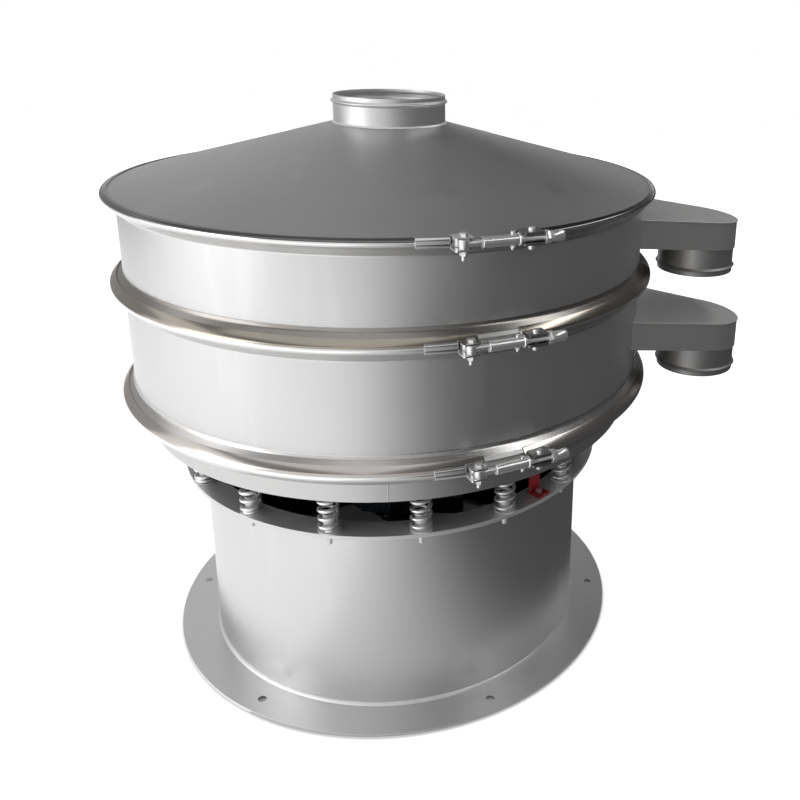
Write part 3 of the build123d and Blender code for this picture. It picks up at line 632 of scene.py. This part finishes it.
# Feed collar with a bead rolled out of its wall below the top
bead_height = COLLAR_TOP - 14.0
collar_in, collar_out = COLLAR_RADIUS - SHEET, COLLAR_RADIUS
ring("feed_collar", [
    (collar_in, COLLAR_FOOT - COLLAR_SUNK), (collar_out, COLLAR_FOOT - COLLAR_SUNK),
    (collar_out, bead_height - 4.5), (collar_out + 4.8, bead_height - 1.5),
    (collar_out + 4.8, bead_height + 1.5), (collar_out, bead_height + 4.5),
    (collar_out, COLLAR_TOP), (collar_in, COLLAR_TOP),
    (collar_in, bead_height + 4.0), (collar_out + 1.6, bead_height + 1.0),
    (collar_out + 1.6, bead_height - 1.0), (collar_in, bead_height - 4.0)],
    "sieve_body", COLLAR_SATIN, ("feed_inlet",),
    {2: 1.6, 3: 1.6, 4: 1.6, 5: 1.6, 6: 0.9, 7: 0.9, 8: 1.4, 9: 1.4, 10: 1.4, 11: 1.4},
    COLLAR_STEPS)


# Polished rims: thin skins over the frames' corners, closed inside the sheet
SKIN_OUT, SKIN_UP = 0.15, 0.3       # off the wall and off the corner
SKIN_IN, SKIN_DOWN = 0.4, 0.6       # where it closes, inside the wall and past the corner
SKIN_LAP = 0.5                      # under the band's mouth


def flare(name, corner, way, material, radius=13.0):
    """Fillet from a frame's wall into its flange; way is +1 above a joint, -1 below."""
    wall = FRAME_RADIUS + SKIN_OUT
    start = (corner + way * (SKIN_UP + radius * tan(FLANGE_LEAN / 2))) * mm
    bm = bmesh.new()
    first = bm.verts.new((wall * mm, 0, start))
    bmesh.ops.spin(
        bm, geom=[first], cent=((wall + radius) * mm, 0, start), axis=(0, -way, 0),
        angle=FLANGE_LEAN, steps=6, use_merge=False)
    foot = max(bm.verts, key=lambda v: v.co.x)
    reach = (BAND_RADIUS - BAND_DEPTH + SKIN_LAP) * mm - foot.co.x
    tip = bm.verts.new((foot.co.x + reach, 0, foot.co.z - way * reach))
    bm.edges.new((foot, tip))
    ends = [v for v in bm.verts if len(v.link_edges) == 1]
    back = bm.verts.new(((FRAME_RADIUS - SKIN_IN) * mm, 0, (corner - way * SKIN_DOWN) * mm))
    for end in ends:
        bm.edges.new((end, back))
    spin(bm, list(bm.verts) + list(bm.edges), 2 * pi, ROUND_STEPS, merge=True)
    finish_piece(name, bm, "sieve_body", material)


rise = FLANGE_RIM + FLANGE_CLIMB
# Foot flares take the rims' painted reflection, head flares the bands' painted shade.
flare("upper_frame_foot_flare", SCREEN_JOINT + JOINT_GAP + rise, 1, RIMS_PAINTED_REFLECTION["screen"])
flare("lower_frame_foot_flare", BODY_JOINT + JOINT_GAP + rise, 1, RIMS_PAINTED_REFLECTION["body"])
flare("upper_frame_head_flare", LID_JOINT - LID_GAP - rise, -1, BAND_UNDER_PAINTED_SHADE, 5.0)
flare("lower_frame_head_flare", SCREEN_JOINT - JOINT_GAP - rise, -1, BAND_UNDER_PAINTED_SHADE, 5.0)


# Weld beads and seams
def fillet_weld(radius, height, size, up=1):
    """Profile of a weld in the corner outside a wall, above or below a plate."""
    face = size * 0.62
    return [(radius, height), (radius + size, height), (radius + face, height + up * face),
            (radius, height + up * size)]


ring("shell_foot_weld", fillet_weld(SHELL_RADIUS - 0.2, 8.9, 6.0), "base", WELD)
ring("shell_head_weld", fillet_weld(SHELL_RADIUS - 0.2, 443.1, 4.0, -1), "base", WELD)
ring("collar_weld", fillet_weld(COLLAR_RADIUS - 0.2, COLLAR_FOOT - 0.4, 4.0), "sieve_body", WELD,
     steps=96)


def upright_seam(name, radius, low, high, turn, body, material):
    """Ground seam of a rolled shell."""
    width, proud = 2.4, 0.5
    bm = bmesh.new()
    bmesh.ops.create_cube(bm, size=1.0)
    bmesh.ops.scale(bm, verts=bm.verts, vec=(2 * proud * mm, width * mm, (high - low) * mm))
    upright = [e for e in bm.edges if abs((e.verts[0].co - e.verts[1].co).z) > 1e-4]
    round_off(bm, upright, 0.45)
    move(bm, (radius, 0, (low + high) / 2))
    set_in(bm, Matrix.Rotation(radians(turn), 4, "Z"))
    finish_piece(name, bm, body, material)


upright_seam("skirt_seam", SKIRT_RADIUS, 566, 617, -89.0, "sieve_body", SKIRT_SATIN_PAINTED_SHADE_INSIDE)
upright_seam("shell_seam", SHELL_RADIUS, 15, 439, 74.0, "base", BASE_SATIN_PAINTED_SHADE_INSIDE)

# Closures: local X along the bolt, local Y to the machine, local Z up
CLOSURE_HEIGHTS = {
    "lid": LID_JOINT + (lid_legs[0][3] - lid_legs[1][3]) / 2, "screen": SCREEN_JOINT, "body": BODY_JOINT}
LIE = Matrix.Rotation(pi / 2, 4, "Y")     # lays a turned form along local X


def closure_matrix(name):
    return (Matrix.Rotation(radians(CLOSURES[name]), 4, "Z")
            @ Matrix.Translation(((BAND_RADIUS + CLOSURE_OUT) * mm, 0, CLOSURE_HEIGHTS[name] * mm))
            @ Matrix.Rotation(pi / 2, 4, "Z"))


def threaded_rod(start, end, core, crest, pitch):
    """A rod along local X with a rolled thread as a helical ridge."""
    bm = rod([(0, start), (core, start), (core, end - 1), (core - 1, end), (0, end)], 24)
    helix = bmesh.new()
    verts = [helix.verts.new((r * mm, 0, z * mm)) for r, z in (
        (core - 0.3, start), (crest, start + pitch * 0.42), (crest, start + pitch * 0.52),
        (core - 0.3, start + pitch * 0.94))]
    edges = [helix.edges.new(pair) for pair in zip(verts, verts[1:])]
    turns = int((end - start - 2 * pitch) / pitch)
    spin(helix, verts + edges, 2 * pi * turns, THREAD_STEPS * turns, pitch * turns)
    add_into(bm, helix)
    set_in(bm, LIE)
    return bm


for name in CLOSURES:
    here = closure_matrix(name)
    bolt = threaded_rod(BOLT_FOOT, BOLT_TIP, BOLT_CORE, BOLT_CREST, BOLT_PITCH)
    shank = rod([(5.9, -57.0), (BOLT_CREST, BOLT_FOOT - 0.5), (BOLT_CORE, BOLT_FOOT)], 28)
    set_in(shank, LIE)
    add_into(bolt, shank)
    eye = turn_profile([(4.05, -EYE_HALF), (9.0, -EYE_HALF), (9.0, EYE_HALF), (4.05, EYE_HALF)],
                       {1: 0.8, 2: 0.8}, 40)
    move(eye, (-PIN_REACH, 0, 0))
    add_into(bolt, eye)
    set_in(bolt, here)
    finish_piece(name + "_eye_bolt", bolt, name + "_bolt_unit", ZINC,
                 (name + "_swing_bolt",), SHARP_TURNED)

    tube = rod([(6.0, -30), (9.6, -30), (10.4, -29.2), (10.4, -27.4), (10, -27), (10, 36.4), (11.4, 37),
                (12, 37.6), (12, 39.4), (11.4, 40), (6.0, 40)], 48)
    set_in(tube, LIE)
    stud = rod([(0, 9), (4.2, 9), (4.2, 14.4), (3.4, 15.4), (0, 15.4)], 24)
    add_into(stud, rod([(0, -9), (3, -9), (3, -17), (2.4, -17.8), (0, -17.8)], 20))
    add_into(stud, hex_nut(9, -14, -10))
    move(stud, (STUD_REACH, 0, 0))
    add_into(tube, stud)
    set_in(tube, here)
    finish_piece(name + "_saddle_tube", tube, name + "_bolt_unit", PALE_CAST,
                 (name + "_bolt_spacer",))

    nut = rod([(6.05, 12), (9.9, 12), (10, 12.4), (10, 36.8), (9.0, 38), (6.6, 38), (6.05, 37.4),
               (6.05, 12)], 40)
    add_into(nut, hex_nut(22, 0, 12))
    move(nut, (0, 0, NUT_START))
    set_in(nut, here @ LIE)
    finish_piece(name + "_long_nut", nut, name + "_nut_unit", PALE_CAST,
                 (name + "_sleeve_nut",), SHARP_TURNED)

pins, pin_nuts, stubs = bmesh.new(), bmesh.new(), bmesh.new()
for name in CLOSURES:
    here = closure_matrix(name)
    hinge = here @ Matrix.Translation((-PIN_REACH * mm, 0, 0))
    pin = rod([(0, -29), (3.2, -29), (4, -28.2), (4, 12)], 24)
    add_into(pin, hex_nut(14, 12, 20))
    set_in(pin, hinge)
    add_into(pins, pin)
    nut = hex_nut(14, -20, -12)
    set_in(nut, hinge)
    add_into(pin_nuts, nut)
    for flip in (0, pi):
        stub = rod([(0, 7), (4, 7), (4, 12), (7, 12), (7, 17.4), (5.6, 20), (0, 20)], 28)
        set_in(stub, here @ Matrix.Translation((PIN_REACH * mm, 0, 0)) @ Matrix.Rotation(flip, 4, "X"))
        add_into(stubs, stub)
finish_piece("hinge_pin_set", pins, "sieve_body", ZINC, ("clamp_hinge_pins",))
finish_piece("hinge_pin_nut_set", pin_nuts, "sieve_body", ZINC, ("clamp_pin_nuts",))
finish_piece("fork_stub_set", stubs, "sieve_body", ZINC, ("clamp_fork_stubs",))

# CAD nodes that stay as they are, with their finishes
FINISHES = {
    "body_plate": RAW_STEEL_PAINTED_SHADE, "screen_spokes": SATIN, "screen_mesh": WIRE, "lock_bolt": ZINC,
    "lock_nut": ZINC, "cable_gland": GLAND, "motor_bolts": ZINC, "motor_nuts": ZINC, "motor_shaft": ZINC,
    "motor_bearings": ZINC, "motor_stator": CORE, "rotor_core": CORE, "upper_weight": MOTOR,
    "lower_weight": MOTOR, "upper_weight_screw": ZINC, "lower_weight_screw": ZINC,
}
for node, material in FINISHES.items():
    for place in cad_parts[node].material_slots:
        place.material = material

# Studio, in metres: pale floor, soft lamps, cards, camera. Within the base's flange the floor and the
# # cards do not glow: a painted shadow under the base, which keeps the base dark inside.
FLOOR_SIZE = 9.0
PAINTED_SHADOW_RADIUS, PAINTED_SHADOW_EDGE = 0.535, 0.01


def studio_floor():
    bm = bmesh.new()
    bmesh.ops.create_grid(bm, x_segments=1, y_segments=1, size=FLOOR_SIZE)
    floor = add_object("studio_floor", to_mesh("studio_floor", bm))
    r = Recipe("pale_floor")
    seen = r.node("Light Path", {}, {}, "Is Camera Ray")
    mirrored = r.node("Light Path", {}, {}, "Is Glossy Ray")
    distance = r.distance()
    # Painted shadow: the floor is dark within the base's flange.
    outside = distance.above(PAINTED_SHADOW_RADIUS, PAINTED_SHADOW_EDGE)
    far = distance.above(2.4, 2.2)
    glow = r.blend(outside, grey(0.01), r.blend(far, grey(0.86), grey(1.0)))
    dim = r.blend(outside, grey(0.01), grey(0.78))
    r.finish(
        Base_Color=grey(0.86), Roughness=0.9,
        Emission_Color=r.blend(seen, r.blend(mirrored, grey(0.0), dim), glow), Emission_Strength=1.0)
    floor.data.materials.append(r.material)


def world_light(ambient):
    """White air for the camera, reflections and glass, dimmer as a light."""
    world = bpy.data.worlds.new("studio_air")
    bpy.context.scene.world = world
    world.use_nodes = True
    tree = world.node_tree
    path = tree.nodes.new("ShaderNodeLightPath")
    direct = path.outputs["Is Camera Ray"]
    for ray in "Is Glossy Ray", "Is Transmission Ray":
        either = tree.nodes.new("ShaderNodeMath")
        either.operation = "MAXIMUM"
        tree.links.new(direct, either.inputs[0])
        tree.links.new(path.outputs[ray], either.inputs[1])
        direct = either.outputs[0]
    strength = tree.nodes.new("ShaderNodeMapRange")
    tree.links.new(direct, strength.inputs[0])
    strength.inputs[3].default_value = ambient
    strength.inputs[4].default_value = 1.0
    air = tree.nodes["Background"]
    air.inputs["Color"].default_value = (1, 1, 1, 1)
    tree.links.new(strength.outputs[0], air.inputs["Strength"])


def facing(spot, target):
    return (Vector(target) - Vector(spot)).to_track_quat("-Z", "Y")


def lamp(name, spot, target, size, power):
    light = bpy.data.lights.new(name, "AREA")
    light.shape = "RECTANGLE"
    light.size, light.size_y = size
    light.energy = power
    holder = add_object(name, light)
    holder.location = spot
    holder.rotation_euler = facing(spot, target).to_euler()


def card(name, spot, target, size, level, far_level=None, start=0.0, width=1.0):
    """Card beside the object that only reflections show. Its level may turn into a far level along X,
    over a width from a start."""
    bm = bmesh.new()
    bmesh.ops.create_grid(bm, x_segments=1, y_segments=1, size=0.5)
    bmesh.ops.scale(bm, verts=bm.verts, vec=(size[0], size[1], 1))
    set_in(bm, Matrix.Translation(spot) @ facing(spot, target).to_matrix().to_4x4())
    sheet = add_object(name, to_mesh(name, bm))
    r = Recipe(name + "_cloth")
    far = level if far_level is None else far_level
    along = r.node("Split", {}, {"Vector": r.place()}, 0).above(start + width / 2, width)
    # Painted shadow: the card is dark within the base's flange.
    clear_of_painted_shadow = r.distance().above(PAINTED_SHADOW_RADIUS, PAINTED_SHADOW_EDGE)
    glow = r.blend(clear_of_painted_shadow, grey(0.0), r.blend(along, grey(level), grey(far)))
    r.finish(Base_Color=grey(0.0), Roughness=1.0, Emission_Color=glow, Emission_Strength=1.0)
    sheet.data.materials.append(r.material)
    sheet.visible_camera = False
    sheet.visible_diffuse = False
    sheet.visible_shadow = False


studio_floor()
world_light(0.4)
lamp("key_soft_box", (-3.4, -1.6, 1.6), (0, 0, 0.7), (2.2, 2.6), 30)
lamp("top_soft_box", (-0.6, -0.6, 4.0), (0, 0, 0.9), (3.4, 3.4), 20)
card("right_card", (3.6, 0.2, 1.8), (0, 0.2, 1.8), (8.6, 4.6), 0.07)
card("front_card", (0.8, -4.2, 2.3), (0.8, 0, 2.3), (7.2, 4.6), 0.90, 0.14, -1.2, 3.4)
card("back_low_card", (0.0, 4.4, 0.8), (0.0, 0, 0.8), (9.0, 1.6), 0.66, 0.05, -1.8, 2.6)
card("back_middle_card", (0.0, 4.4, 2.25), (0.0, 0, 2.25), (9.0, 1.3), 0.52, 0.10, -0.6, 2.4)
card("back_high_card", (0.0, 4.4, 3.85), (0.0, 0, 3.85), (9.0, 1.9), 0.60, 0.05, -1.2, 1.4)
card("left_back_card", (-3.8, 2.6, 1.6), (0, 0, 1.6), (4.0, 3.4), 0.36)
card("ceiling_card", (0.0, 0.4, 4.6), (0.0, 0.4, 0), (9.0, 9.0), 0.22, 0.05, 0.2, 1.6)
card("floor_card", (2.05, 0.1, 0.004), (2.05, 0.1, 3.0), (4.7, 8.2), 0.88, 0.045, -0.22, 0.78)
card("right_strip", (2.7, 0.0, 3.5), (0, 0, 1.0), (6.0, 0.55), 3.4)
card("back_strip", (1.6, 4.1, 1.62), (0.6, 0, 1.1), (3.4, 0.2), 1.8)

# Camera placed from the rings in the photo: focal length and centre in pixels of its frame
PICTURE, SENSOR = 800.0, 36.0
FOCAL, CENTRE = 905.79, (548.0, 295.90)
PITCH, ROLL, YAW = radians(17.621), radians(1.832), radians(10.145)
BACK, HEIGHT, TURN = 2.0749, 1.4562, radians(2.923)
ahead = Vector((sin(YAW) * cos(PITCH), cos(YAW) * cos(PITCH), -sin(PITCH)))
right = Vector((cos(YAW), -sin(YAW), 0))
up = right.cross(ahead)
right, up = right * cos(ROLL) + up * sin(ROLL), up * cos(ROLL) - right * sin(ROLL)
stand = Matrix((right, up, -ahead)).transposed().to_4x4()
camera_data = bpy.data.cameras.new("photo_camera")
camera_data.sensor_width = SENSOR
camera_data.lens = FOCAL * SENSOR / PICTURE
camera_data.shift_x = (PICTURE / 2 - CENTRE[0]) / PICTURE
camera_data.shift_y = (CENTRE[1] - PICTURE / 2) / PICTURE
camera = add_object("photo_camera", camera_data)
camera.matrix_world = Matrix.Rotation(TURN, 4, "Z") @ Matrix.Translation((0, -BACK, HEIGHT)) @ stand
bpy.context.scene.camera = camera
bpy.context.scene.view_settings.view_transform = "Standard"
